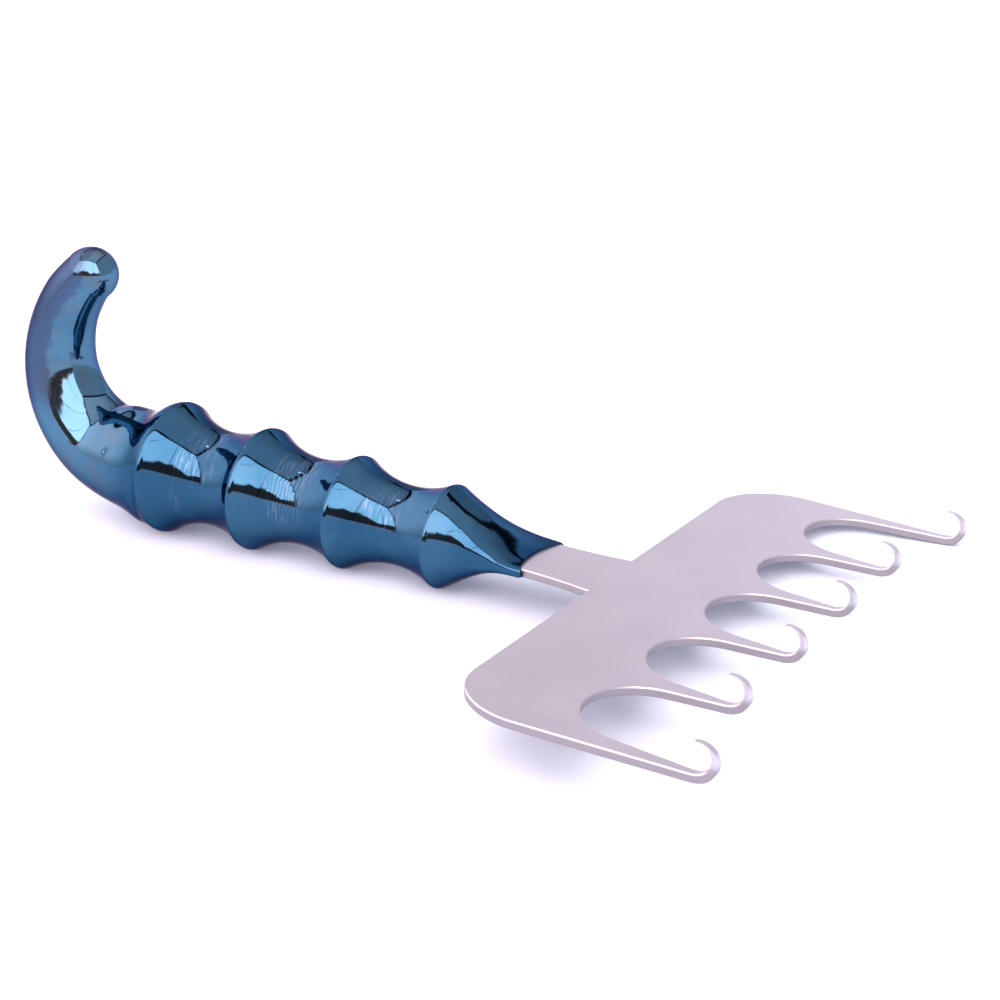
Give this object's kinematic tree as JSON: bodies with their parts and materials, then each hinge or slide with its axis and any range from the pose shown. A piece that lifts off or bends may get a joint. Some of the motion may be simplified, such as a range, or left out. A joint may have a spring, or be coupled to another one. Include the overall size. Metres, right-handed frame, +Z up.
{
  "type": "rake retractor",
  "caption": "Hand-held rake retractor: a thin steel fork with upturned pointed claws, brazed into a ridged, polished blue metal handle that ends in a finger crook.",
  "frame": {"origin": "on the table, under the middle of the outline's box", "axes": "+Z up as the instrument rests on its ridges and one outer claw, with claws and crook turned up; +X along the handle towards the claws; Y across the fork"},
  "size_m": [0.1866, 0.13, 0.0578],
  "materials": {
    "polished_blue_metal": "mirror-polished steel with a blue surface film, slightly patchy on the crook",
    "satin_steel": "satin, fine random scratches"
  },
  "bodies": {
    "root": {"ridged_handle": "polished_blue_metal", "rake_fork": "satin_steel"}
  },
  "joints": []
}
